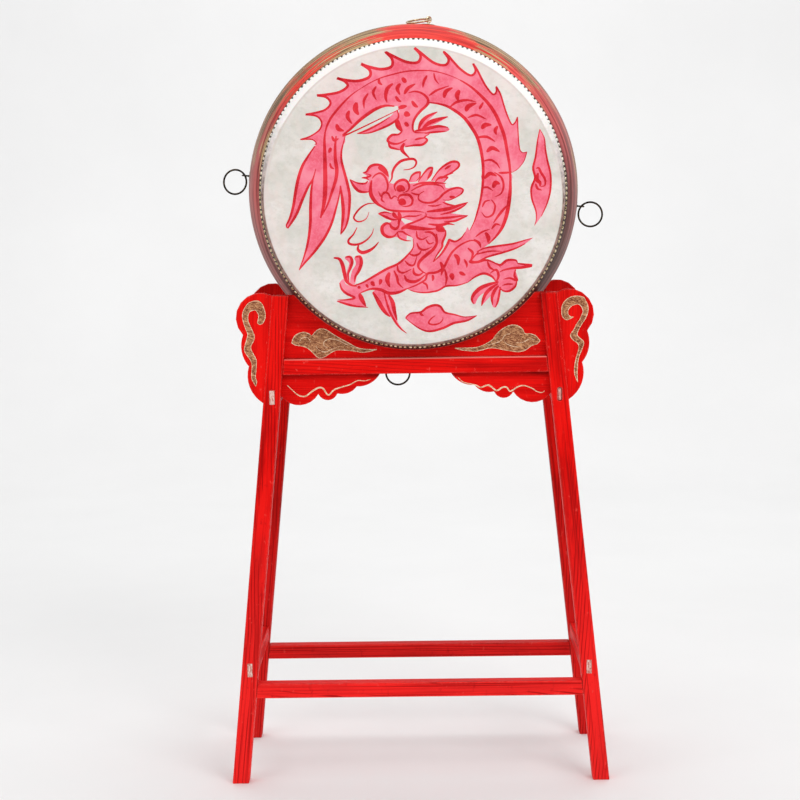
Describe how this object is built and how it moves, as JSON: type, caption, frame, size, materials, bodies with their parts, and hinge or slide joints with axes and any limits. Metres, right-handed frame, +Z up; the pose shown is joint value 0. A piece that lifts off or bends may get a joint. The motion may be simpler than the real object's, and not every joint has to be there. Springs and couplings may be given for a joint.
{
  "type": "war drum",
  "caption": "Barrel drum with tacked hides and ring pulls, lying on edge in the scalloped cradle of a painted wooden stand with splayed legs.",
  "frame": {"origin": "centre of the stand's four feet, on the floor", "axes": "+Z up, -Y the way the front head looks, +X to the right of a player who faces the front head"},
  "size_m": [0.6504, 0.3674, 1.2989],
  "materials": {
    "red_paint": "red paint brushed over wood, half gloss",
    "painted_shell": "red paint with golden brown brushwork, half gloss",
    "hide": "pale stretched rawhide, matte",
    "old_brass": "dark worn brass"
  },
  "bodies": {
    "stand": {"leg_front_left": "red_paint", "leg_front_right": "red_paint", "leg_back_left": "red_paint", "leg_back_right": "red_paint", "rail_front": "red_paint", "rail_back": "red_paint", "side_rail_upper_left": "red_paint", "side_rail_upper_right": "red_paint", "stretcher_front": "red_paint", "stretcher_back": "red_paint", "side_stretcher_left": "red_paint", "side_stretcher_right": "red_paint", "cradle_board_front": "red_paint", "cradle_board_back": "red_paint", "wing_front_left": "red_paint", "wing_front_right": "red_paint", "wing_back_left": "red_paint", "wing_back_right": "red_paint", "apron_front_left": "red_paint", "apron_front_right": "red_paint", "apron_back_left": "red_paint", "apron_back_right": "red_paint"},
    "drum": {"drum_shell": "painted_shell", "drumhead_front": "hide", "drumhead_back": "hide", "rosette_left": "old_brass", "rosette_right": "old_brass", "rosette_top": "old_brass", "rosette_bottom": "old_brass", "staple_left": "old_brass", "staple_right": "old_brass", "staple_top": "old_brass", "staple_bottom": "old_brass"},
    "pull_left": {"ring_left": "old_brass"},
    "pull_right": {"ring_right": "old_brass"},
    "pull_top": {"ring_top": "old_brass"},
    "pull_bottom": {"ring_bottom": "old_brass"}
  },
  "joints": [
    {"name": "drum_lift", "type": "slide", "parent": "stand", "child": "drum", "axis": [0, 0, 1], "range_m": [0, 0.2]},
    {"name": "ring_left_swing", "type": "hinge", "parent": "drum", "child": "pull_left", "pos_m": [-0.2891, -0.00106, 1.03487], "axis": [-0.1045, 0.0347, -0.9939], "range_deg": [-75, 130]},
    {"name": "ring_right_swing", "type": "hinge", "parent": "drum", "child": "pull_right", "pos_m": [0.2891, 0.00106, 0.97413], "axis": [0.1045, -0.0347, 0.9939], "range_deg": [-85, 120]},
    {"name": "ring_top_swing", "type": "hinge", "parent": "drum", "child": "pull_top", "pos_m": [0.03046, -0.01012, 1.29418], "axis": [-0.5704, 0.8166, 0.0885], "range_deg": [0, 208]},
    {"name": "ring_bottom_swing", "type": "hinge", "parent": "drum", "child": "pull_bottom", "pos_m": [-0.03098, 0.01029, 0.70987], "axis": [0.9945, 0.0036, -0.1045], "range_deg": [-106, 110]}
  ]
}
